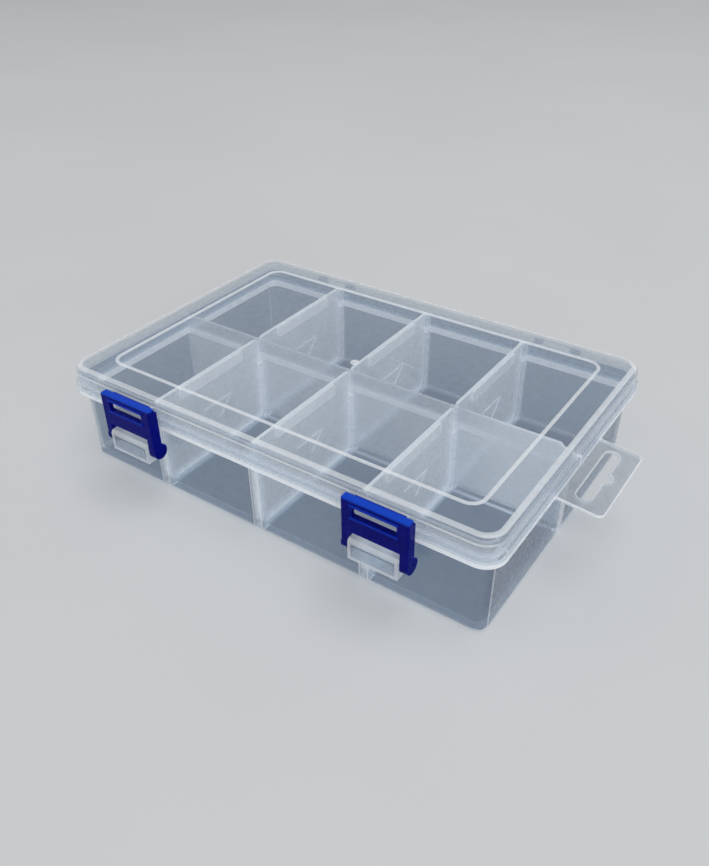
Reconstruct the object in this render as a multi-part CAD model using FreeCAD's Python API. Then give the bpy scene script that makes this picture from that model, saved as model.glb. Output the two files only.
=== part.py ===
"""A shallow moulded storage box with a hinged lid, two snap latches and six lift-out dividers.

Millimetres. X runs along the box, +Y to the hinge side, -Y to the latches, +Z up. The origin is
the centre of the tray's underside.
"""
import FreeCAD, Part
import math
import os

from FreeCAD import Vector

# Tray
lip_length = 200.0
lip_width = 136.4
lip_corner_radius = 8.4
lip_overhang = 3.3
lip_depth = 5.85
lip_bottom_bevel = 0.8
parting_height = 38.1
rim_rise = 2.9
wall_thickness = 1.3
wall_draft = 0.5
floor_thickness = 1.5
foot_corner_radius = 4.8
foot_bevel = 1.0
floor_round = 3.0
centre_wall_thickness = 1.5
centre_wall_end_run = 2.2
centre_wall_end_drop = 1.5

# Lid
lid_setback = 0.5
lid_corner_radius = 8.7
lid_height = 7.2
lid_thickness = 1.3
lid_top_round = 2.4
bead_length = 172.0
bead_width = 109.8
bead_corner_radius = 5.6
bead_thickness = 1.5
bead_height = 0.6
bead_bevel = 0.35
gate_diameter = 3.8
gate_height = 0.5
gate_bevel = 0.2
catch_length = 20.0
catch_height = 1.5
catch_top_rise = 3.9
catch_reach = 1.2
catch_nose = 0.7

# Dividers and their guides
compartments_per_row = 4
divider_shift = -2.5
divider_thickness = 1.3
divider_rise = 0.5
divider_top_radius = 2.0
divider_foot_relief = 1.0
divider_clearance = 0.15
guide_rib_thickness = 1.2
guide_rib_depth = 2.0
wall_guide_drop = 1.0
centre_guide_height = 30.0
floor_guide_height = 1.2
grip_length = 38.0
grip_height = 5.1
grip_thickness = 1.0
grip_bevel = 0.8
mark_leg = 17.0
mark_run = 7.4
mark_drop = 7.7
mark_offset = 10.2
mark_height = 23.7
mark_width = 0.8
mark_relief = 0.3

# Latches and their hinge blocks
latch_spacing = 117.0
latch_shift = -0.8
latch_gap = 1.2
latch_depth = 4.2
latch_plate_thickness = 2.0
latch_flange_thickness = 1.5
latch_top_thickness = 2.0
latch_top_depth = 3.0
latch_leg_radius = 3.3
latch_leg_width = 3.2
latch_leg_rise = 6.5
latch_corner_round = 0.8
latch_pivot_height = 23.7
latch_hook_height = 1.0
latch_hook_clearance = 0.2
window_length = 18.0
window_height = 3.9
window_drop = 3.0
window_round = 0.6
ridge_length = 19.2
ridge_width = 1.0
ridge_height = 0.5
ridge_gap = 0.2
ridge_bevel = 0.25
block_length = 20.2
block_rise = 3.8
block_drop = 5.2
block_stand_out = 0.8
block_swing_gap = 1.6
block_recess_margin = 1.7
block_recess_depth = 0.8
block_side_clearance = 0.2
latch_pin_diameter = 3.0
latch_pin_length = 2.2
pin_end_clearance = 0.3
pin_fit_clearance = 0.08

# Rear hinge
hinge_spacing = 120.0
hinge_stand_off = 3.0
hinge_barrel_radius = 2.6
hinge_knuckle_length = 14.0
hinge_ear_thickness = 3.0
hinge_side_clearance = 0.3
hinge_pin_diameter = 2.8
hinge_pin_length = 2.4
hinge_arm_clearance = 0.3
hinge_arm_rise = 4.6
hinge_gusset_drop = 4.5

# Hang tab
tab_reach = 17.0
tab_width = 43.5
tab_thickness = 1.2
tab_corner_radius = 3.0
tab_edge_bevel = 0.3
tab_centre_y = 1.8
tab_droop_degrees = 6.0
tab_plug_clearance = 0.1
slot_length = 33.0
slot_width = 5.7
slot_inset = 4.2
notch_radius = 2.9
notch_reach = 2.4
notch_round = 1.0

# One overrun serves all cuts, and one embed joins what is moulded together
overrun = 5.0
embed = 0.4
same_height = 0.01

# A rounded or bevelled edge never takes more than this share of the wall or radius beside it
round_limit_share = 0.9
half_share = 0.5
nose_steps = 3

# Worked out from the sizes above
lip_half_x = lip_length / 2
lip_half_y = lip_width / 2
lip_bottom = parting_height - lip_depth
rim_top = parting_height + rim_rise
foot_half_x = lip_half_x - lip_overhang - wall_draft
foot_half_y = lip_half_y - lip_overhang - wall_draft
lid_half_x = lip_half_x - lid_setback
lid_half_y = lip_half_y - lid_setback
lid_top = parting_height + lid_height
lid_underside = lid_top - lid_thickness
divider_pitch = lip_length / compartments_per_row
divider_top = rim_top + divider_rise
slot_half = divider_thickness / 2 + divider_clearance
centre_face = centre_wall_thickness / 2
catch_top = parting_height + catch_top_rise
latch_front = lip_half_y + latch_gap + latch_depth
latch_back = lip_half_y + latch_gap
latch_pivot_y = latch_front - latch_leg_radius
latch_top = catch_top + latch_hook_clearance + latch_top_thickness
latch_inner_half = block_length / 2 + block_side_clearance
latch_half = latch_inner_half + latch_leg_width
latch_bore_radius = latch_pin_diameter / 2 + pin_fit_clearance
latch_bore_depth = latch_pin_length - block_side_clearance + pin_end_clearance
block_front = latch_front + block_stand_out
hinge_y = lip_half_y + hinge_stand_off
hinge_z = parting_height


def draft_at(z):
    """How far the tray wall leans out at a height, from its foot."""
    return wall_draft * z / rim_top


def inner_half_x(z):
    """From the middle to the inner face of an end wall."""
    return foot_half_x + draft_at(z) - wall_thickness


def inner_half_y(z):
    """From the middle to the inner face of a long wall."""
    return foot_half_y + draft_at(z) - wall_thickness


def block(x_min, x_max, y_min, y_max, z_min, z_max):
    """A plain block between two corners."""
    corner = Vector(x_min, y_min, z_min)
    return Part.makeBox(x_max - x_min, y_max - y_min, z_max - z_min, corner)


def rounded_outline(x_min, x_max, y_min, y_max, radius, z):
    """A closed outline with four round corners, lying at one height."""
    centres = (
        Vector(x_max - radius, y_max - radius, z),
        Vector(x_min + radius, y_max - radius, z),
        Vector(x_min + radius, y_min + radius, z),
        Vector(x_max - radius, y_min + radius, z),
    )
    quarter = math.pi / 2
    arcs = []
    for turn, centre in enumerate(centres):
        circle = Part.Circle(centre, Vector(0, 0, 1), radius)
        arcs.append(Part.ArcOfCircle(circle, turn * quarter, (turn + 1) * quarter).toShape())
    edges = []
    for turn, arc in enumerate(arcs):
        following = arcs[(turn + 1) % len(arcs)]
        edges.append(arc)
        edges.append(Part.makeLine(arc.Vertexes[-1].Point, following.Vertexes[0].Point))
    return Part.Wire(edges)


def rounded_block(half_x, half_y, radius, z_min, z_max):
    """An upright block about the middle with four round corners."""
    outline = rounded_outline(-half_x, half_x, -half_y, half_y, radius, z_min)
    return Part.Face(outline).extrude(Vector(0, 0, z_max - z_min))


def drafted_block(half_x, half_y, radius, z_min, z_max):
    """An upright block about the middle with four round corners, whose sides lean out with the draft."""
    lean = draft_at(z_max) - draft_at(z_min)
    core_x = half_x - radius
    core_y = half_y - radius
    across = side_profile(((-half_y, z_min), (half_y, z_min), (half_y + lean, z_max),
                           (-half_y - lean, z_max)), -core_x, core_x)
    corners = [Vector(x, -core_y, z) for x, z in ((-half_x, z_min), (half_x, z_min),
                                                 (half_x + lean, z_max), (-half_x - lean, z_max))]
    along = Part.Face(Part.makePolygon(corners + corners[:1])).extrude(Vector(0, 2 * core_y, 0))
    cones = []
    for x in (-core_x, core_x):
        for y in (-core_y, core_y):
            cones.append(Part.makeCone(radius, radius + lean, z_max - z_min, Vector(x, y, z_min)))
    return across.fuse([along] + cones).removeSplitter()


def side_profile(points, x_min, x_max):
    """A closed outline of (y, z) points, drawn out along X."""
    corners = [Vector(x_min, y, z) for y, z in points]
    face = Part.Face(Part.makePolygon(corners + corners[:1]))
    return face.extrude(Vector(x_max - x_min, 0, 0))


def cross_cylinder(radius, x_min, x_max, y, z):
    """A round bar along X."""
    return Part.makeCylinder(radius, x_max - x_min, Vector(x_min, y, z), Vector(1, 0, 0))


def edges_at(shape, z):
    """The edges of a shape that lie flat at one height."""
    found = []
    for edge in shape.Edges:
        box = edge.BoundBox
        if abs(box.ZMin - z) < same_height and abs(box.ZMax - z) < same_height:
            found.append(edge)
    return found


def edges_along(shape, direction):
    """The straight edges of a shape that run along one direction."""
    found = []
    for edge in shape.Edges:
        straight = isinstance(edge.Curve, Part.Line)
        if straight and edge.Curve.Direction.cross(direction).Length < same_height:
            found.append(edge)
    return found


def divider_places():
    """The X of the dividers in a row, left to right."""
    middle = compartments_per_row / 2
    return [divider_shift + (k - middle) * divider_pitch for k in range(1, compartments_per_row)]


def latch_places():
    """The X of the left and the right latch."""
    return [latch_shift + side * latch_spacing / 2 for side in (-1, 1)]


def hinge_places():
    """The X of the two groups of the rear hinge."""
    return [side * hinge_spacing / 2 for side in (-1, 1)]


def tray_outside():
    """The drafted outside of the tray with its bevelled foot."""
    solid = drafted_block(foot_half_x, foot_half_y, foot_corner_radius, 0, rim_top)
    return solid.makeChamfer(min(foot_bevel, round_limit_share * foot_corner_radius), edges_at(solid, 0))


def row_cavity(side):
    """The drafted space of one row, front (-1) or back (1), with its rounded floor edge."""
    top = rim_top + overrun
    corner = foot_corner_radius + draft_at(floor_thickness) - wall_thickness
    solid = drafted_block(inner_half_x(floor_thickness), inner_half_y(floor_thickness), corner,
                          floor_thickness, top)
    near = side * centre_face
    beyond = side * (inner_half_y(top) + overrun)
    row = block(-lip_half_x, lip_half_x, min(near, beyond), max(near, beyond), floor_thickness, top)
    solid = solid.common(row)
    return solid.makeFillet(min(floor_round, round_limit_share * corner), edges_at(solid, floor_thickness))


def tray_lip():
    """The turned-out lip with its bevelled lower edge, before the hollow behind it is cut."""
    lip = rounded_block(lip_half_x, lip_half_y, lip_corner_radius, lip_bottom, parting_height)
    size = min(lip_bottom_bevel, round_limit_share * wall_thickness)
    return lip.makeChamfer(size, edges_at(lip, lip_bottom))


def lip_hollow():
    """The channel between the lip and the wall, open below."""
    half_x = lip_half_x - wall_thickness
    half_y = lip_half_y - wall_thickness
    radius = lip_corner_radius - wall_thickness
    return rounded_block(half_x, half_y, radius, lip_bottom - overrun, parting_height - wall_thickness)


def centre_wall_end_cut(side):
    """The sloped step that lowers the centre wall where it meets an end wall."""
    wall = side * inner_half_x(rim_top)
    start = wall - side * (centre_wall_end_run + centre_wall_end_drop)
    knee = wall - side * centre_wall_end_run
    low = rim_top - centre_wall_end_drop
    high = rim_top + overrun
    points = ((start, rim_top), (knee, low), (wall, low), (wall, high), (start, high))
    corners = [Vector(x, -centre_face, z) for x, z in points]
    face = Part.Face(Part.makePolygon(corners + corners[:1]))
    return face.extrude(Vector(0, centre_wall_thickness, 0))


def guide_ribs(x, side):
    """The pairs of ribs that hold one divider: on the long wall, the centre wall and the floor."""
    wall_inner = inner_half_y(floor_thickness)
    wall_middle = wall_inner + wall_thickness * half_share
    ribs = []
    for hand in (-1, 1):
        near = x + hand * slot_half
        far = near + hand * guide_rib_thickness
        low_x = min(near, far)
        high_x = max(near, far)
        spans = (
            (wall_inner - guide_rib_depth, wall_middle, rim_top - wall_guide_drop),
            (centre_face - embed, centre_face + guide_rib_depth, centre_guide_height),
            (centre_face + guide_rib_depth - embed, wall_inner - guide_rib_depth + embed,
             floor_thickness + floor_guide_height),
        )
        for y_near, y_far, top in spans:
            y_low = min(side * y_near, side * y_far)
            y_high = max(side * y_near, side * y_far)
            ribs.append(block(low_x, high_x, y_low, y_high, floor_thickness - embed, top))
    return ribs


def latch_block(x):
    """A hinge block on the front wall: bevelled nose, sunk front face and two stub pins."""
    pivot_y = -latch_pivot_y
    half = block_length / 2
    root = -inner_half_y(latch_pivot_height) - wall_thickness * half_share
    nose_radius = latch_leg_rise - block_swing_gap
    reach = block_front - latch_pivot_y
    top_angle = math.asin(block_rise / nose_radius)
    front_angle = math.acos(reach / nose_radius)
    points = [(root, latch_pivot_height + block_rise)]
    for step in range(nose_steps + 1):
        angle = top_angle + (front_angle - top_angle) * step / nose_steps
        y = pivot_y - nose_radius * math.cos(angle)
        points.append((y, latch_pivot_height + nose_radius * math.sin(angle)))
    points.append((-block_front, latch_pivot_height - block_drop))
    points.append((root, latch_pivot_height - block_drop))
    body = side_profile(points, x - half, x + half)
    recess_top = latch_pivot_height + nose_radius * math.sin(front_angle) - block_recess_margin
    recess_low = latch_pivot_height - block_drop + block_recess_margin
    sunk = block_front - block_recess_depth
    recess_points = ((-block_front - overrun, recess_top), (-sunk, recess_top), (-block_front, recess_low),
                     (-block_front - overrun, recess_low))
    recess_half = half - block_recess_margin
    body = body.cut(side_profile(recess_points, x - recess_half, x + recess_half))
    pin_reach = half + latch_pin_length
    return body.fuse(cross_cylinder(latch_pin_diameter / 2, x - pin_reach, x + pin_reach,
                                    pivot_y, latch_pivot_height))


def hinge_ears(x):
    """The two ears of one hinge group, hanging from the back of the lip."""
    root = lip_half_y - wall_thickness * half_share
    inner = hinge_knuckle_length / 2 + hinge_side_clearance
    outer = inner + hinge_ear_thickness
    arm = ((root, hinge_z), (hinge_y, hinge_z), (hinge_y, hinge_z - hinge_barrel_radius),
           (root, hinge_z - hinge_gusset_drop))
    ears = []
    for side in (-1, 1):
        x_min = x + min(side * inner, side * outer)
        x_max = x + max(side * inner, side * outer)
        ear = side_profile(arm, x_min, x_max)
        ear = ear.fuse(cross_cylinder(hinge_barrel_radius, x_min, x_max, hinge_y, hinge_z))
        bore = hinge_pin_diameter / 2 + pin_fit_clearance
        ears.append(ear.cut(cross_cylinder(bore, x_min - overrun, x_max + overrun, hinge_y, hinge_z)))
    return ears


def base_tray():
    """The moulded tray in one piece."""
    outside = tray_outside()
    solid = outside.fuse(tray_lip().cut(lip_hollow()))
    for side in (-1, 1):
        solid = solid.cut(row_cavity(side))
    solid = solid.cut([centre_wall_end_cut(side) for side in (-1, 1)])
    additions = []
    for side in (-1, 1):
        for x in divider_places():
            additions += guide_ribs(x, side)
    for x in latch_places():
        additions.append(latch_block(x))
    for x in hinge_places():
        additions += hinge_ears(x)
    return solid.fuse(additions).removeSplitter()


def lid_bead():
    """The raised ring on the lid that keeps a box stacked on top from sliding."""
    half_x = bead_length / 2
    half_y = bead_width / 2
    middle = bead_thickness / 2
    top = lid_top + bead_height
    outer = rounded_block(half_x + middle, half_y + middle, bead_corner_radius + middle,
                          lid_top - embed, top)
    inner = rounded_block(half_x - middle, half_y - middle, bead_corner_radius - middle,
                          lid_top - overrun, top + overrun)
    ring = outer.cut(inner)
    return ring.makeChamfer(min(bead_bevel, round_limit_share * middle), edges_at(ring, top))


def gate_nub():
    """The small round mark that moulding leaves in the middle of the lid."""
    top = lid_top + gate_height
    nub = Part.makeCylinder(gate_diameter / 2, gate_height + embed, Vector(0, 0, lid_top - embed))
    return nub.makeChamfer(min(gate_bevel, round_limit_share * gate_height), edges_at(nub, top))


def catch_rib(x):
    """The ramped rib on the front of the lid that a latch hooks over."""
    root = -lid_half_y + embed
    tip = -lid_half_y - catch_reach
    low = catch_top - catch_height
    points = ((root, low), (tip, low), (tip, low + catch_nose), (-lid_half_y, catch_top), (root, catch_top))
    return side_profile(points, x - catch_length / 2, x + catch_length / 2)


def hinge_knuckle(x):
    """A lid knuckle with its arm and a stub pin at each end."""
    half = hinge_knuckle_length / 2
    root = lid_half_y - embed
    low = hinge_z + hinge_arm_clearance
    arm = ((root, low), (hinge_y, low), (hinge_y, hinge_z + hinge_barrel_radius),
           (root, hinge_z + hinge_arm_rise))
    knuckle = side_profile(arm, x - half, x + half)
    knuckle = knuckle.fuse(cross_cylinder(hinge_barrel_radius, x - half, x + half, hinge_y, hinge_z))
    reach = half + hinge_pin_length
    return knuckle.fuse(cross_cylinder(hinge_pin_diameter / 2, x - reach, x + reach, hinge_y, hinge_z))


def lid():
    """The moulded lid: plate, skirt, stacking bead, catch ribs and hinge knuckles."""
    outside = rounded_block(lid_half_x, lid_half_y, lid_corner_radius, parting_height, lid_top)
    outside = outside.makeFillet(lid_top_round, edges_at(outside, lid_top))
    inside = rounded_block(lid_half_x - lid_thickness, lid_half_y - lid_thickness,
                           lid_corner_radius - lid_thickness, parting_height, lid_underside)
    inside = inside.makeChamfer(lid_top_round - lid_thickness, edges_at(inside, lid_underside))
    additions = [lid_bead(), gate_nub()]
    additions += [catch_rib(x) for x in latch_places()]
    additions += [hinge_knuckle(x) for x in hinge_places()]
    return outside.cut(inside).fuse(additions).removeSplitter()


def latch_shell(x):
    """The latch's outside: flat front, rounded corners and round heels about the pivot."""
    y_front = -latch_front
    upper = block(x - latch_half, x + latch_half, y_front, -latch_back, latch_pivot_height, latch_top)
    front_edges = []
    for edge in upper.Edges:
        box = edge.BoundBox
        is_front = box.YMax < y_front + same_height
        is_foot = box.ZMax < latch_pivot_height + same_height
        is_top_back = box.ZMin > latch_top - same_height and box.XLength < same_height
        if (is_front and not is_foot) or is_top_back:
            front_edges.append(edge)
    upper = upper.makeFillet(latch_corner_round, front_edges)
    heel = cross_cylinder(latch_leg_radius, x - latch_half, x + latch_half, -latch_pivot_y,
                          latch_pivot_height)
    return upper.fuse(heel)


def latch_ridge(x, z):
    """A raised grip ridge across the latch's front."""
    half = ridge_width / 2
    ridge = block(x - ridge_length / 2, x + ridge_length / 2, -latch_front - ridge_height,
                  -latch_front + embed, z - half, z + half)
    long_edges = []
    for edge in edges_along(ridge, Vector(1, 0, 0)):
        if edge.BoundBox.YMax < -latch_front:
            long_edges.append(edge)
    return ridge.makeChamfer(min(ridge_bevel, round_limit_share * half), long_edges)


def latch(x):
    """A snap latch: hollow plate with side flanges, hook, window, grip ridges and two bored legs."""
    inner = latch_half - latch_flange_thickness
    plate_back = -latch_front + latch_plate_thickness
    crotch = latch_pivot_height + latch_leg_rise
    under_top = latch_top - latch_top_thickness
    low = latch_pivot_height - latch_leg_radius - overrun
    top_back = -latch_front + latch_top_depth
    cuts = [
        block(x - inner, x + inner, plate_back, -latch_back + overrun, crotch, under_top),
        block(x - latch_inner_half, x + latch_inner_half, -latch_front - overrun, -latch_back + overrun,
              low, crotch),
        block(x - latch_half - overrun, x + latch_half + overrun, top_back, -latch_back + overrun,
              under_top, latch_top + overrun),
    ]
    window_top = latch_top - window_drop
    window_low = window_top - window_height
    window = block(x - window_length / 2, x + window_length / 2, -latch_front - overrun,
                   plate_back + overrun, window_low, window_top)
    cuts.append(window.makeFillet(window_round, edges_along(window, Vector(0, 1, 0))))
    bore_reach = latch_inner_half + latch_bore_depth
    cuts.append(cross_cylinder(latch_bore_radius, x - bore_reach, x + bore_reach,
                               -latch_pivot_y, latch_pivot_height))
    solid = latch_shell(x).cut(cuts)
    hook_tip = -lid_half_y - catch_reach - latch_hook_clearance
    hook = block(x - catch_length / 2, x + catch_length / 2, top_back - embed, hook_tip,
                 under_top, under_top + latch_hook_height)
    ridge_step = ridge_gap + ridge_width / 2
    additions = [hook, latch_ridge(x, window_top + ridge_step), latch_ridge(x, window_low - ridge_step)]
    return solid.fuse(additions).removeSplitter()


def divider_plate(x, side):
    """A divider's flat plate, with round foot corners that clear the tray's rounded floor."""
    low_far = inner_half_y(floor_thickness) - divider_clearance
    high_far = inner_half_y(divider_top) - divider_clearance
    near = centre_face + divider_clearance
    x_min = x - divider_thickness / 2
    points = ((side * near, floor_thickness), (side * low_far, floor_thickness),
              (side * high_far, divider_top), (side * near, divider_top))
    plate = side_profile(points, x_min, x_min + divider_thickness)
    foot_edges = []
    for edge in edges_along(plate, Vector(1, 0, 0)):
        if edge.BoundBox.ZMax < floor_thickness + same_height:
            foot_edges.append(edge)
    plate = plate.makeFillet(floor_round + divider_foot_relief, foot_edges)
    top_edges = []
    for edge in edges_along(plate, Vector(1, 0, 0)):
        if edge.BoundBox.ZMin > divider_top - same_height:
            top_edges.append(edge)
    return plate.makeFillet(divider_top_radius, top_edges)


def grip_strip(x, middle):
    """The thicker strip at a divider's top edge, where fingers hold it."""
    face = x + divider_thickness / 2
    strip = block(face - embed, face + grip_thickness, middle - grip_length / 2, middle + grip_length / 2,
                  divider_top - grip_height, divider_top)
    return strip.makeChamfer(grip_bevel, edges_along(strip, Vector(1, 0, 0)))


def chevron(x, middle):
    """Two thin raised ribs that meet in a point on a divider's face."""
    face = x + divider_thickness / 2
    apex = middle + mark_offset
    half = mark_width / 2
    low = mark_height - half
    high = mark_height + half
    level = block(face - embed, face + mark_relief, apex - mark_leg, apex, low, high)
    length = math.hypot(mark_run, mark_drop)
    slant = block(face - embed, face + mark_relief, apex - length, apex, low, high)
    angle = math.degrees(math.atan2(mark_drop, mark_run))
    slant.rotate(Vector(face, apex, mark_height), Vector(1, 0, 0), angle)
    return level.fuse(slant)


def divider(x, side):
    """A lift-out divider of the front (-1) or back (1) row."""
    middle = side * (centre_face + inner_half_y(floor_thickness)) / 2
    return divider_plate(x, side).fuse([grip_strip(x, middle), chevron(x, middle)]).removeSplitter()


def euro_slot(x_min, top):
    """The hanging slot with its notch on the outer side, as a cutter."""
    half = slot_length / 2
    radius = slot_width / 2
    low = top - tab_thickness - overrun
    high = top + overrun
    outline = rounded_outline(x_min, x_min + slot_width, tab_centre_y - half, tab_centre_y + half,
                              radius * round_limit_share, low)
    slot = Part.Face(outline).extrude(Vector(0, 0, high - low))
    tip = x_min + slot_width + notch_reach
    notch = Part.makeCylinder(notch_radius, high - low, Vector(tip - notch_radius, tab_centre_y, low))
    cutter = slot.fuse(notch).removeSplitter()
    corners = []
    for edge in edges_along(cutter, Vector(0, 0, 1)):
        if edge.BoundBox.XMin > x_min + slot_width - same_height and edge.BoundBox.YLength < same_height:
            if abs(edge.BoundBox.YMin - tab_centre_y) < notch_radius:
                corners.append(edge)
    return cutter.makeFillet(notch_round, corners)


def hang_tab():
    """The hang tab: a plate drooping a little outwards, with a plug that fills the lip's channel."""
    y_min = tab_centre_y - tab_width / 2
    y_max = tab_centre_y + tab_width / 2
    top = lip_bottom
    root = lip_half_x - lip_overhang + tab_plug_clearance
    plate = block(lip_half_x - wall_thickness, lip_half_x + tab_reach, y_min, y_max,
                  top - tab_thickness, top)
    outer_edges = []
    for edge in edges_along(plate, Vector(0, 0, 1)):
        if edge.BoundBox.XMin > lip_half_x:
            outer_edges.append(edge)
    plate = plate.makeFillet(tab_corner_radius, outer_edges)
    plate = plate.cut(euro_slot(lip_half_x + slot_inset, top))
    rim_edges = []
    for edge in edges_at(plate, top) + edges_at(plate, top - tab_thickness):
        if edge.BoundBox.XMax > lip_half_x:
            rim_edges.append(edge)
    plate = plate.makeChamfer(min(tab_edge_bevel, round_limit_share * tab_thickness / 2), rim_edges)
    plate.rotate(Vector(lip_half_x, 0, top), Vector(0, 1, 0), tab_droop_degrees)
    base = block(root, lip_half_x, y_min, y_max, top - tab_thickness, top)
    plug_face = lip_half_x - wall_thickness - tab_plug_clearance
    plug_top = parting_height - wall_thickness - tab_plug_clearance
    plug = block(root, plug_face, y_min, y_max, top - tab_thickness, plug_top)
    inside = block(lip_half_x, lip_half_x + tab_reach + overrun, y_min - overrun, y_max + overrun,
                   top - overrun, top + overrun)
    return plate.common(inside).fuse([base, plug]).removeSplitter()


def save(name, shape):
    """Writes one piece and prints what it holds."""
    shape.exportStep("parts/" + name + ".step")
    state = "valid" if shape.isValid() else "NOT VALID"
    print(name, len(shape.Solids), "solid", state, round(shape.Volume))


def main():
    os.makedirs("parts", exist_ok=True)
    save("base_tray", base_tray())
    save("lid", lid())
    for name, x in zip(("latch_left", "latch_right"), latch_places()):
        save(name, latch(x))
    for row, side in (("front", -1), ("back", 1)):
        for name, x in zip(("left", "middle", "right"), divider_places()):
            save("divider_" + row + "_" + name, divider(x, side))
    save("hang_tab", hang_tab())


main()
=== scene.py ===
"""Looks for the translucent storage box: procedural plastics, floor, soft light and camera."""
import math

import bpy
from mathutils import Matrix, Vector


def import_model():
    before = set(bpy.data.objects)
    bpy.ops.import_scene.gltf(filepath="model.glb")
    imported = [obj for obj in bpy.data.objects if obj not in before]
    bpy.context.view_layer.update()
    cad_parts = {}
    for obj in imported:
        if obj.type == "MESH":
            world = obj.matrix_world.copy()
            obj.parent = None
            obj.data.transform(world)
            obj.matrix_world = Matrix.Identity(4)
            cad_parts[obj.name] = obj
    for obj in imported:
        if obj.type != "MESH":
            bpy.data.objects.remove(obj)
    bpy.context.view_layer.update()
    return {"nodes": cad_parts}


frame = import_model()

MM = 0.001

# Camera, as solved from the photograph
EYE_MM = (171.495, -248.257, 220.266)
AIM_MM = (7.966, -12.259, 20.0)
ROLL_DEGREES = -0.552
LENS_MM = 34.766
SENSOR_MM = 36.0
CLIP_METRES = (0.01, 40.0)

# Lights: azimuth and elevation in degrees, size in metres and power in watts
LIGHTS = {
    "key_light": (50.0, 34.0, 3.0, 54.0),
    "fill_light": (-50.0, 33.0, 2.0, 16.0),
    "top_light": (130.0, 78.0, 2.0, 60.0),
}
LIGHT_DISTANCE = 3.2
WORLD_LIGHT = (0.98, 0.99, 1.0, 1)
WORLD_STRENGTH = 0.34
TRANSPARENT_BOUNCES = 48

# Floor, in metres: half its width, how far it lies under the box, and how far out its lit surface turns
# into the backdrop
FLOOR_HALF = 12.0
FLOOR_DROP = 0.0002
FLOOR_FADE = (1.2, 4.0)

# Colours, linear
LID_TINT = (0.968, 0.974, 0.980, 1)
LID_DEEP = (0.74, 0.78, 0.82, 1)
TRAY_TINT = (0.86, 0.885, 0.91, 1)
TRAY_DEEP = (0.54, 0.625, 0.715, 1)
LOOSE_TINT = (0.92, 0.925, 0.93, 1)
TAB_TINT = (0.60, 0.64, 0.69, 1)
CLEAR_BODY = (0.89, 0.905, 0.92, 1)
# The paler clear colour goes where haze is strong: milky edges and rims, and the painted highlights and
# light
CLEAR_EDGE_AND_PAINTED_LIGHT = (0.95, 0.96, 0.97, 1)
CLEAR_SHADE = (0.93, 0.94, 0.95, 1)
MILKY_SHADE = (0.82, 0.83, 0.84, 1)
WHITE = (1, 1, 1, 1)
BLUE_BODY = (0.0002, 0.002, 0.165, 1)
# The two paler blues are painted: a highlight on the latch's edges and ridges, and light on its top flange
BLUE_HIGHLIGHT = (0.003, 0.022, 0.33, 1)
BLUE_LIT_TOP = (0.006, 0.044, 0.40, 1)
FLOOR_COLOUR = (0.49, 0.50, 0.51, 1)
BACKGROUND = (0.53, 0.54, 0.55, 1)

# From here on, places on the box are in millimetres: X and Y from its middle, heights from its underside.
# SOFT is half the width over which a mask usually fades.
SOFT = 0.2

# Tray: heights
FOOT_LINE = (0.9, 1.5)
FLOOR_TOP = 1.6
FOOT_TOP = 4.5
LIP_BOTTOM = 32.1
LIP_EDGE = (31.9, 34.8)
SEAM = (37.75, 38.3)
RIM = 40.7

# Tray: distances from its middle planes
END_FACE = 95.35
LONG_FACE = 63.65
# Painted highlight: a thin line down the rounded corners of the end walls, between these distances across
CORNER_HIGHLIGHT = (60.1, 60.8)
CENTRE_WALL_HALF = 0.95
# Painted light: the centre wall grows paler between these X places, towards its +X end
CENTRE_WALL_PAINTED_LIGHT = (45.0, 75.0)
END_WALL = 94.0
END_WALL_FRONT = -61.75
REAR_WALL = 62.0

# Hinge blocks, which lie the same way left and right of X = -BLOCK_SHIFT
BLOCK_SHIFT = 0.8
BLOCK_MIDDLE = 58.5
BLOCK_WINDOW_HALF = 8.9
BLOCK_WINDOW = (19.9, 25.5)
BLOCK_ROOT = -65.6
BLOCK_FRONT = -66.2
BLOCK_TOP = 28.25

# Divider guides: places across a divider's plane, and where the guides end
DIVIDER_PITCH = 50.0
DIVIDER_SHIFT = 2.5
GUIDE_HALF = 2.05
GUIDE_LINE = (1.75, 2.2)
GUIDES_LAST = 91.5
GUIDES_CHANGE = (57.0, 60.5)
GUIDES_OUTSIDE = 66.0
JOINT_HALF = (1.6, 3.2)
JOINT_REACH = 3.0
JOINT_TOP = (32.0, 36.0)

# Lid: heights, and distances inwards from its outline
# Painted highlight: a line along the lid below its rounded edge, between these heights
LID_LOW_HIGHLIGHT = (41.9, 42.7)
LID_SKIRT_TOP = (42.8, 43.4)
LID_ROUND = (43.0, 44.4)
LID_ROUND_TOP = 44.7
LID_FACE = 45.15
LID_RAISED = 45.35
LID_SEAM = 38.4
LID_SKIRT_IN = (1.3, 2.6)
# Painted highlight: a line on the lid's top just inside its rounded edge, between these distances inwards
LID_TOP_HIGHLIGHT = (1.0, 2.9)
LID_SIDE_IN = 0.6
# The lower painted highlight is fuller on the long sides, where the light falls, over these distances across
LID_LIT_LONG_SIDES = (62.0, 66.0)

# Scuff on the lid: its slope, where it crosses X = 0, its half width and its ends
SCUFF_SLOPE = -0.1125
SCUFF_CROSSING = 12.7
SCUFF_HALF = (0.10, 0.30)
SCUFF_ENDS = (10.0, 22.0)

# Dividers
STRIP_BOTTOM = 36.4
STRIP_ENDS = (12.9, 50.9)
DIVIDER_TOP = 41.15
DIVIDER_FOOT = 2.3
DIVIDER_NEAR_END = 1.7
DIVIDER_FAR_END = 62.1
WALL_DRAFT = 0.012

# Chevron on a divider: its tip, the run and drop of its slant leg, and where its two legs end, along the
# divider and downwards from the tip
ROW_MIDDLE = 31.9
TIP_ALONG = 10.2
TIP_HEIGHT = 23.7
SLANT_LEG = (7.4, 7.7)
LEVEL_ENDS = (-16.8, 0.2)
SLANT_ENDS = (-0.3, 7.6)
RIB_HALF = 0.6
RIB_ENDS_SOFT = 0.3

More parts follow.
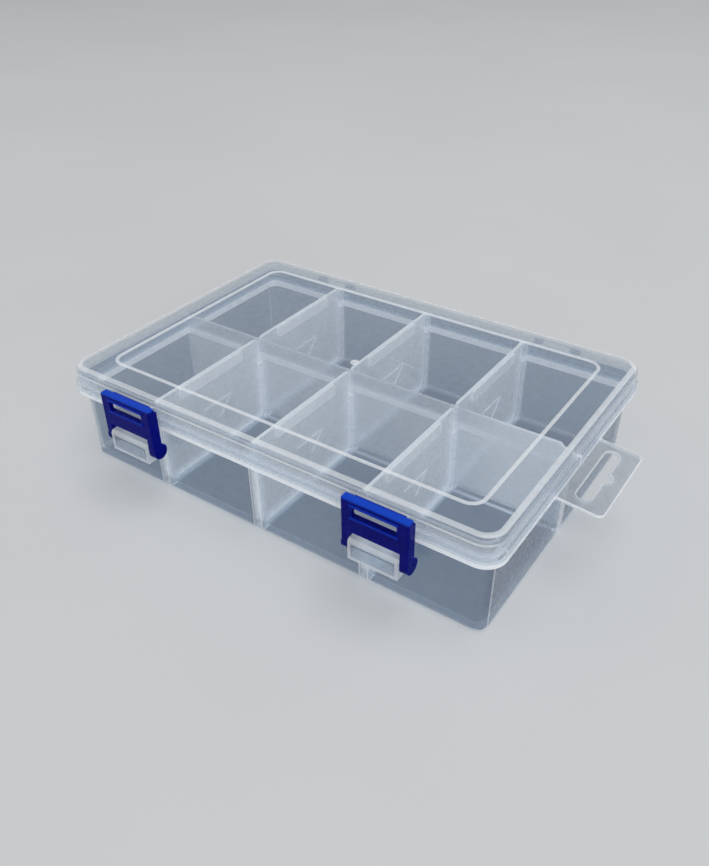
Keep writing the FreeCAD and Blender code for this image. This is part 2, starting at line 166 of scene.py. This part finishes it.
# Outlines seen from above, as half length, half width and corner radius, then the places of the tab, its
# slot and its notch, and how wide their milky edges are
LID_OUTLINE = (99.5, 67.7, 8.7)
TAB_OUTLINE = (28.5, 21.75, 3.0)
SLOT_OUTLINE = (2.85, 16.5, 2.57)
NOTCH_OUTLINE = (2.9, 2.9, 2.9)
TAB_X = 88.5
SLOT_X = 107.05
NOTCH_X = 109.4
TAB_Y = 1.8
TAB_EDGE = (0.35, 0.80)
SLOT_EDGE = (0.25, 0.70)

# Latches
RIDGE_FACE = -73.75
# Painted light: the latches turn paler blue between these heights, towards their tops
LATCH_LIT_TOP = (43.0, 44.0)

# Cosine of the turn of the smoothed surface against the face, where an edge starts to show and where it
# shows fully
EDGE_TURN = (0.995, 0.80)

# Sockets of the Mix node that carry colours
COLOUR_INPUTS = (6, 7)
COLOUR_OUTPUT = 2


def dim(colour, share):
    return tuple(share * channel for channel in colour[:3]) + (1,)


class Nodes:
    """Adds nodes and links to one node tree."""

    def __init__(self, tree):
        self.tree = tree
        tree.nodes.clear()

    def add(self, kind, settings=None, **inputs):
        node = self.tree.nodes.new(kind)
        for key, value in (settings or {}).items():
            setattr(node, key, value)
        for key, value in inputs.items():
            self.put(node.inputs[key.replace("_", " ")], value)
        return node

    def put(self, socket, value):
        if isinstance(value, bpy.types.NodeSocket):
            self.tree.links.new(value, socket)
        else:
            socket.default_value = value

    def math(self, operation, first, second=0.0):
        node = self.add("ShaderNodeMath", {"operation": operation})
        self.put(node.inputs[0], first)
        self.put(node.inputs[1], second)
        return node.outputs[0]

    def size(self, value):
        return self.math("ABSOLUTE", value)

    def join(self, operation, parts):
        total = parts[0]
        for part in parts[1:]:
            total = self.math(operation, total, part)
        return total

    def most(self, *parts):
        """The largest of some masks, which is where any of them is."""
        return self.join("MAXIMUM", parts)

    def within(self, *parts):
        """The product of some masks, which is where all of them are."""
        return self.join("MULTIPLY", parts)

    def ramp(self, value, low, high, to_low=0.0, to_high=1.0):
        """Goes smoothly from to_low to to_high while value goes from low to high. Low may be the larger."""
        node = self.add("ShaderNodeMapRange", {"interpolation_type": "SMOOTHSTEP"}, Value=value)
        numbers = {"From Min": low, "From Max": high, "To Min": to_low, "To Max": to_high}
        for key, number in numbers.items():
            node.inputs[key].default_value = number
        return node.outputs[0]

    def over(self, value, place, amount=1.0, soft=SOFT):
        """A mask that is amount where value is more than place, and 0 elsewhere."""
        return self.ramp(value, place - soft, place + soft, 0.0, amount)

    def under(self, value, place, amount=1.0, soft=SOFT):
        """A mask that is amount where value is less than place, and 0 elsewhere."""
        return self.ramp(value, place + soft, place - soft, 0.0, amount)

    def band(self, value, limits, amount=1.0, soft=SOFT):
        """A mask that is amount between two limits and fades out over soft on both sides."""
        low, high = limits
        rise = self.ramp(value, low - soft, low, 0.0, amount)
        return self.within(rise, self.ramp(value, high + soft, high))

    def inward(self, x, y, outline):
        """How far a point is inside a rounded rectangle about the origin, less than 0 outside it."""
        half_x, half_y, radius = outline
        past = []
        for side, half in ((x, half_x), (y, half_y)):
            run = self.math("SUBTRACT", self.size(side), half - radius)
            past.append(self.math("POWER", self.math("MAXIMUM", run, 0.0), 2.0))
        reach = self.math("SQRT", self.math("ADD", past[0], past[1]))
        return self.math("SUBTRACT", radius, reach)

    def noise(self, vector, scale, detail=2.0, rough=0.5):
        node = self.add("ShaderNodeTexNoise", Vector=vector, Scale=scale, Detail=detail, Roughness=rough)
        return node.outputs["Fac"]

    def blend(self, factor, first, second):
        node = self.add("ShaderNodeMix", {"data_type": "RGBA"}, Factor=factor)
        for index, colour in zip(COLOUR_INPUTS, (first, second)):
            self.put(node.inputs[index], colour)
        return node.outputs[COLOUR_OUTPUT]

    def mix(self, factor, first, second):
        """One shader where factor is 0 and another where it is 1."""
        node = self.add("ShaderNodeMixShader", Fac=factor)
        self.put(node.inputs[1], first.outputs[0])
        self.put(node.inputs[2], second.outputs[0])
        return node

    def place(self, scale=(1, 1, 1)):
        """The piece's own coordinates in metres, times a scale."""
        coords = self.add("ShaderNodeTexCoord").outputs["Object"]
        return self.add("ShaderNodeMapping", Vector=coords, Scale=scale).outputs[0]

    def where(self):
        """X, Y and Z on the box in millimetres."""
        split = self.add("ShaderNodeSeparateXYZ", Vector=self.place((1 / MM, 1 / MM, 1 / MM)))
        return tuple(split.outputs[axis] for axis in "XYZ")

    def edges(self, radius, samples):
        """1 near a moulded edge or corner, 0 on open faces."""
        bevel = self.add("ShaderNodeBevel", {"samples": samples}, Radius=radius)
        normal = self.add("ShaderNodeNewGeometry").outputs["Normal"]
        dot = self.add("ShaderNodeVectorMath", {"operation": "DOT_PRODUCT"})
        self.put(dot.inputs[0], bevel.outputs[0])
        self.put(dot.inputs[1], normal)
        return self.ramp(dot.outputs["Value"], *EDGE_TURN)

    def seen(self):
        """1 for rays that come from the camera, straight, through clear plastic or by a gloss."""
        path = self.add("ShaderNodeLightPath").outputs
        return self.most(path["Is Camera Ray"], path["Is Glossy Ray"], path["Is Transmission Ray"])

    def finish(self, shader, kind="ShaderNodeOutputMaterial"):
        self.add(kind, Surface=shader.outputs[0])


def new_material(name):
    material = bpy.data.materials.new(name)
    material.use_nodes = True
    return material, Nodes(material.node_tree)


def clear_plastic(name, haze, rim, tint, shade, milk_and_painted_light, deep=None, deep_tint=None):
    """Translucent moulded plastic: clear sheet with a milky haze that gathers at edges and rims.

    haze is how much of one face is milky, rim what is added at grazing angles, tint what one face does to
    what is seen through it, shade the light that it lets through to its shadow, milk a function that
    says where there is more haze and where highlights and light are painted, and deep one that says where
    the plastic tints as deep_tint, mostly where it is thick."""
    material, n = new_material(name)
    place = n.place()
    cloud = n.noise(place, scale=38.0, detail=3.0)
    flow = n.noise(n.place((9.0, 45.0, 45.0)), scale=1.0, detail=4.0, rough=0.6)
    facing = n.add("ShaderNodeLayerWeight", Blend=0.45).outputs["Facing"]
    amount = n.within(n.ramp(cloud, 0.3, 0.7, 0.88, 1.12), haze, n.ramp(flow, 0.3, 0.7, 0.93, 1.07))
    graze = n.within(n.math("POWER", facing, 2.2), rim)
    if deep is not None:
        thick = deep(n)
        graze = n.within(graze, n.math("SUBTRACT", 1.0, n.within(thick, 0.8)))
        tint = n.blend(thick, tint, deep_tint)
    edge = milk_and_painted_light(n)
    amount = n.math("ADD", n.math("ADD", amount, graze), edge)
    amount = n.math("MINIMUM", amount, 0.96)
    colour = n.blend(n.ramp(cloud, 0.25, 0.75), CLEAR_BODY, dim(CLEAR_BODY, 0.96))
    colour = n.blend(n.ramp(edge, 0.0, 0.5), colour, CLEAR_EDGE_AND_PAINTED_LIGHT)
    rough = n.ramp(n.noise(place, scale=240.0, detail=4.0, rough=0.6), 0.3, 0.7, 0.20, 0.34)
    ripple = n.noise(place, scale=55.0, detail=1.0)
    waves = n.add("ShaderNodeBump", Strength=0.07, Distance=0.0006, Height=ripple).outputs[0]
    body = n.add("ShaderNodeBsdfPrincipled", Base_Color=colour, Roughness=rough, Specular_IOR_Level=0.0,
                 Normal=waves)
    glow = n.add("ShaderNodeBsdfTranslucent", Color=colour)
    clear = n.add("ShaderNodeBsdfTransparent", Color=tint)
    sheet = n.mix(amount, clear, n.mix(0.45, body, glow))
    gloss = n.add("ShaderNodeBsdfGlossy", Color=WHITE, Roughness=rough, Normal=waves)
    fresnel = n.add("ShaderNodeFresnel", IOR=1.45, Normal=waves).outputs[0]
    inner = n.add("ShaderNodeNewGeometry").outputs["Backfacing"]
    top = n.mix(n.within(fresnel, n.math("SUBTRACT", 1.0, inner)), sheet, gloss)
    shadow = n.add("ShaderNodeLightPath").outputs["Is Shadow Ray"]
    n.finish(n.mix(shadow, top, n.add("ShaderNodeBsdfTransparent", Color=shade)))
    return material


def blue_plastic():
    """Glossy opaque blue moulded plastic with faint flow marks, a painted highlight on its edges and ridges,
    and painted light that makes its top flange paler."""
    material, n = new_material("blue_plastic")
    place = n.place()
    y, z = n.where()[1:]
    flow = n.noise(n.place((30.0, 60.0, 160.0)), scale=1.0, detail=4.0, rough=0.6)
    edge = n.edges(radius=0.0006, samples=8)
    colour = n.blend(n.ramp(flow, 0.3, 0.75), BLUE_BODY, dim(BLUE_BODY, 0.80))
    # Painted highlight: paler blue on the latch's edges and on the fronts of its ridges
    ridge_highlight = n.under(y, RIDGE_FACE, amount=0.9, soft=0.1)
    colour = n.blend(n.most(n.within(edge, 0.7), ridge_highlight), colour, BLUE_HIGHLIGHT)
    # Painted light: paler blue on the top flange
    colour = n.blend(n.ramp(z, *LATCH_LIT_TOP), colour, BLUE_LIT_TOP)
    rough = n.ramp(n.noise(place, scale=420.0, detail=4.0, rough=0.6), 0.3, 0.7, 0.22, 0.38)
    fine = n.noise(place, scale=3200.0, detail=2.0)
    grain = n.add("ShaderNodeBump", Strength=0.16, Distance=0.0001, Height=fine).outputs[0]
    hollows = n.noise(place, scale=140.0, detail=1.0)
    sink = n.add("ShaderNodeBump", Strength=0.15, Distance=0.0005, Height=hollows, Normal=grain).outputs[0]
    n.finish(n.add("ShaderNodeBsdfPrincipled", Base_Color=colour, Roughness=rough, IOR=1.50,
                   Specular_IOR_Level=0.06, Normal=sink))
    return material


def block_milk(n, x, y, z):
    """The hinge blocks: milky round the hollow of each, nearly clear inside it."""
    from_middle = n.math("SUBTRACT", n.size(n.math("ADD", x, BLOCK_SHIFT)), BLOCK_MIDDLE)
    beside = n.over(n.size(from_middle), BLOCK_WINDOW_HALF)
    below, above = (n.under(z, BLOCK_WINDOW[0]), n.over(z, BLOCK_WINDOW[1]))
    haze = n.math("ADD", n.within(n.most(beside, below, above), 0.44), 0.04)
    return n.within(haze, n.under(y, BLOCK_ROOT, soft=0.3), n.under(z, BLOCK_TOP, soft=0.25))


def guide_milk(n, x, wide, z):
    """The divider guides, with a line along each side of those at the long walls, and the centre wall beside
    them."""
    plane = n.math("PINGPONG", n.math("ADD", x, DIVIDER_SHIFT), DIVIDER_PITCH / 2)
    from_centre = n.ramp(wide, *GUIDES_CHANGE)
    body = n.within(n.under(plane, GUIDE_HALF, soft=0.15), n.ramp(wide, *GUIDES_CHANGE, 0.44, 0.24))
    line = n.within(n.band(plane, GUIDE_LINE, amount=0.34, soft=0.1), from_centre)
    guide = n.within(n.math("ADD", body, line), n.under(n.size(x), GUIDES_LAST, soft=1.5),
                     n.under(wide, GUIDES_OUTSIDE))
    joint = n.within(n.ramp(plane, JOINT_HALF[1], JOINT_HALF[0], 0.0, 0.56), n.under(wide, JOINT_REACH),
                     n.ramp(z, JOINT_TOP[1], JOINT_TOP[0]))
    return n.most(guide, joint)


def tray_milk_and_painted_light(n):
    """More haze in the doubled lip, its lower edge, the rim, the hinge blocks, the divider guides and the
    centre wall, and along the foot's edge; painted light that makes the centre wall paler towards +X, and
    a painted highlight down the corners of the end walls."""
    x, y, z = n.where()
    long, wide = n.size(x), n.size(y)
    lip = n.over(z, LIP_BOTTOM, amount=0.13)
    lip_edge = n.band(z, LIP_EDGE, amount=0.78, soft=0.3)
    seam = n.band(z, SEAM, amount=0.22, soft=0.1)
    rim = n.over(z, RIM, amount=0.36)
    end_face = n.over(long, END_FACE, soft=0.15)
    # Painted highlight down the corners of the end walls
    corner = n.within(end_face, n.band(wide, CORNER_HIGHLIGHT, amount=0.46, soft=0.3))
    # The centre wall is milky, and painted light makes it paler towards its +X end
    wall = n.within(n.under(wide, CENTRE_WALL_HALF, soft=0.15), n.ramp(x, *CENTRE_WALL_PAINTED_LIGHT, 0.34, 0.68))
    outside = n.most(end_face, n.over(wide, LONG_FACE, soft=0.15))
    foot = n.within(n.band(z, FOOT_LINE, amount=0.34), outside)
    return n.most(lip, lip_edge, seam, rim, block_milk(n, x, y, z), guide_milk(n, x, wide, z), wall, foot,
                  corner)


def tray_deep(n):
    """The floor, the foot that runs up from it, the hinge blocks and the lip, and a darker tint on the end
    walls and the rear wall."""
    x, y, z = n.where()
    floor_sheet = n.under(z, FLOOR_TOP, soft=0.05)
    foot = n.under(z, FOOT_TOP, amount=0.40)
    # The end walls and the rear wall take a darker tint too
    end_walls = n.within(n.over(n.size(x), END_WALL, soft=0.5), n.over(y, END_WALL_FRONT, soft=1.25))
    walls = n.within(n.most(end_walls, n.over(y, REAR_WALL, soft=0.5)), 0.85)
    block = n.within(n.under(y, BLOCK_FRONT, amount=0.8, soft=0.3), n.under(z, BLOCK_TOP, soft=0.25))
    lip = n.over(z, LIP_BOTTOM, amount=0.35)
    return n.most(floor_sheet, foot, walls, block, lip)


def lid_deep(n):
    """The lid's skirt and its rounded edge, where light crosses the plastic lengthways."""
    z = n.where()[2]
    return n.most(n.band(z, LID_ROUND, amount=0.7), n.under(z, LID_ROUND[0], amount=0.45))


def lid_milk_and_highlights(n):
    """More haze in the lid's skirt, its seam with the tray, the raised ring and mark on its top, and one
    short scuff, and painted highlights as lines above and below its rounded edge, the lower one fuller on
    the long sides."""
    x, y, z = n.where()
    inward = n.inward(x, y, LID_OUTLINE)
    skirt = n.within(n.ramp(inward, LID_SKIRT_IN[1], LID_SKIRT_IN[0]),
                     n.ramp(z, LID_SKIRT_TOP[1], LID_SKIRT_TOP[0], 0.05, 0.17))
    # Painted highlight on the lid's top, just inside its rounded edge
    top_highlight = n.within(n.band(inward, LID_TOP_HIGHLIGHT, amount=0.50, soft=0.3), n.over(z, LID_ROUND_TOP))
    # Painted highlight below the rounded edge, fuller on the long sides where the light falls
    low_highlight = n.within(n.band(z, LID_LOW_HIGHLIGHT, amount=0.62), n.under(inward, LID_SIDE_IN),
                        n.ramp(n.size(y), *LID_LIT_LONG_SIDES, 0.35, 1.0))
    seam = n.under(z, LID_SEAM, amount=0.24, soft=0.1)
    raised = n.over(z, LID_RAISED, amount=0.60, soft=0.03)
    line = n.math("ADD", n.within(x, SCUFF_SLOPE), SCUFF_CROSSING)
    from_line = n.size(n.math("SUBTRACT", y, line))
    scuff = n.within(n.ramp(from_line, SCUFF_HALF[1], SCUFF_HALF[0], 0.0, 0.34),
                     n.band(x, SCUFF_ENDS, soft=2.0), n.over(z, LID_FACE, soft=0.05))
    return n.most(skirt, top_highlight, low_highlight, seam, raised, scuff)


def chevron(n, y, z):
    """1 along the chevron's level leg and its slant leg, with soft sides. Both start at its tip."""
    row = n.within(n.math("SIGN", y), ROW_MIDDLE)
    along = n.math("SUBTRACT", n.math("SUBTRACT", y, row), TIP_ALONG)
    down = n.math("SUBTRACT", TIP_HEIGHT, z)
    level = n.within(n.under(n.size(down), RIB_HALF), n.band(along, LEVEL_ENDS, soft=RIB_ENDS_SOFT))
    run, drop = SLANT_LEG
    leg = math.hypot(run, drop)
    across = n.math("ADD", n.within(along, drop / leg), n.within(down, run / leg))
    slant = n.within(n.under(n.size(across), RIB_HALF), n.band(down, SLANT_ENDS, soft=RIB_ENDS_SOFT))
    return n.most(level, slant)


def divider_milk(n):
    """More haze in the thick grip strip, the raised chevron and the divider's edges."""
    y, z = n.where()[1:]
    wide = n.size(y)
    strip = n.within(n.over(z, STRIP_BOTTOM, amount=0.22, soft=0.1), n.band(wide, STRIP_ENDS))
    top = n.over(z, DIVIDER_TOP, amount=0.40, soft=0.15)
    foot = n.under(z, DIVIDER_FOOT, amount=0.34)
    near_end = n.under(wide, DIVIDER_NEAR_END, amount=0.30)
    drafted = n.math("SUBTRACT", wide, n.within(z, WALL_DRAFT))
    far_end = n.over(drafted, DIVIDER_FAR_END, amount=0.30)
    return n.math("ADD", n.most(strip, top, foot, near_end, far_end), n.within(chevron(n, y, z), 0.16))


def tab_milk(n):
    """More haze along the edges of the hang tab and its slot."""
    x, y = n.where()[:2]
    y = n.math("SUBTRACT", y, TAB_Y)
    outline = n.inward(n.math("SUBTRACT", x, TAB_X), y, TAB_OUTLINE)
    slot = n.inward(n.math("SUBTRACT", x, SLOT_X), y, SLOT_OUTLINE)
    notch = n.inward(n.math("SUBTRACT", x, NOTCH_X), y, NOTCH_OUTLINE)
    away = n.within(n.most(slot, notch), -1.0)
    return n.most(n.ramp(outline, TAB_EDGE[1], TAB_EDGE[0], 0.0, 0.55),
                  n.ramp(away, SLOT_EDGE[1], SLOT_EDGE[0], 0.0, 0.36))


def dress():
    """Gives every piece of the frame one material, chosen by the first word of its name."""
    tray = clear_plastic("clear_plastic_tray", haze=0.05, rim=0.08, tint=TRAY_TINT, shade=CLEAR_SHADE,
                         milk_and_painted_light=tray_milk_and_painted_light, deep=tray_deep, deep_tint=TRAY_DEEP)
    lid = clear_plastic("clear_plastic_lid", haze=0.03, rim=0.10, tint=LID_TINT, shade=CLEAR_SHADE,
                        milk_and_painted_light=lid_milk_and_highlights, deep=lid_deep, deep_tint=LID_DEEP)
    loose = clear_plastic("clear_plastic_dividers", haze=0.54, rim=0.18, tint=LOOSE_TINT,
                          shade=MILKY_SHADE, milk_and_painted_light=divider_milk)
    tab = clear_plastic("clear_plastic_tab", haze=0.25, rim=0.15, tint=TAB_TINT, shade=MILKY_SHADE,
                        milk_and_painted_light=tab_milk)
    chosen = {"lid": lid, "latch": blue_plastic(), "divider": loose, "hang": tab}
    for name, piece in frame["nodes"].items():
        material = chosen.get(name.split("_")[0], tray)
        slots = piece.data.materials
        if not slots:
            slots.append(material)
        for index in range(len(slots)):
            slots[index] = material


def floor():
    """A pale floor that turns into the backdrop's even colour far out."""
    mesh = bpy.data.meshes.new("floor")
    corners = [(-FLOOR_HALF, -FLOOR_HALF, 0), (FLOOR_HALF, -FLOOR_HALF, 0),
               (FLOOR_HALF, FLOOR_HALF, 0), (-FLOOR_HALF, FLOOR_HALF, 0)]
    mesh.from_pydata(corners, [], [(0, 1, 2, 3)])
    piece = bpy.data.objects.new("floor", mesh)
    piece.location.z = -FLOOR_DROP
    bpy.context.collection.objects.link(piece)
    material, n = new_material("floor")
    place = n.place()
    mottle = n.noise(place, scale=5.0, detail=3.0)
    colour = n.blend(n.ramp(mottle, 0.3, 0.7), FLOOR_COLOUR, dim(FLOOR_COLOUR, 0.97))
    bump = n.add("ShaderNodeBump", Strength=0.05, Distance=0.0002, Height=n.noise(place, scale=900.0))
    body = n.add("ShaderNodeBsdfPrincipled", Base_Color=colour, Roughness=0.75, Normal=bump.outputs[0])
    backdrop = n.add("ShaderNodeEmission", Color=BACKGROUND, Strength=1.0)
    away = n.add("ShaderNodeVectorMath", {"operation": "LENGTH"})
    n.put(away.inputs[0], place)
    far = n.within(n.ramp(away.outputs["Value"], *FLOOR_FADE), n.seen())
    n.finish(n.mix(far, body, backdrop))
    mesh.materials.append(material)


def area_light(name, azimuth, elevation, size, power):
    """A soft square light that faces the box. Azimuth 0 is on the -Y side, 90 on the +X side."""
    a = math.radians(azimuth)
    e = math.radians(elevation)
    back = Vector((math.sin(a) * math.cos(e), -math.cos(a) * math.cos(e), math.sin(e)))
    light = bpy.data.lights.new(name, "AREA")
    light.shape = "SQUARE"
    light.size = size
    light.energy = power
    piece = bpy.data.objects.new(name, light)
    piece.location = back * LIGHT_DISTANCE
    piece.rotation_mode = "QUATERNION"
    piece.rotation_quaternion = back.to_track_quat("Z", "Y")
    bpy.context.collection.objects.link(piece)


def world():
    """An even pale light, which shows as the backdrop's colour."""
    scene = bpy.context.scene
    scene.world = bpy.data.worlds.new("studio")
    scene.world.use_nodes = True
    n = Nodes(scene.world.node_tree)
    lit = n.add("ShaderNodeBackground", Color=WORLD_LIGHT, Strength=WORLD_STRENGTH)
    shown = n.add("ShaderNodeBackground", Color=BACKGROUND, Strength=1.0)
    n.finish(n.mix(n.seen(), lit, shown), "ShaderNodeOutputWorld")


def camera():
    eye = Vector(EYE_MM) * MM
    aim = Vector(AIM_MM) * MM
    data = bpy.data.cameras.new("camera")
    data.lens = LENS_MM
    data.sensor_width = SENSOR_MM
    data.clip_start, data.clip_end = CLIP_METRES
    piece = bpy.data.objects.new("camera", data)
    turn = (aim - eye).to_track_quat("-Z", "Y").to_matrix()
    roll = Matrix.Rotation(math.radians(ROLL_DEGREES), 3, "Z")
    piece.matrix_world = Matrix.Translation(eye) @ (turn @ roll).to_4x4()
    bpy.context.collection.objects.link(piece)
    bpy.context.scene.camera = piece


def main():
    dress()
    floor()
    for name, settings in LIGHTS.items():
        area_light(name, *settings)
    world()
    camera()
    scene = bpy.context.scene
    scene.view_settings.view_transform = "Standard"
    scene.cycles.transparent_max_bounces = TRANSPARENT_BOUNCES


main()
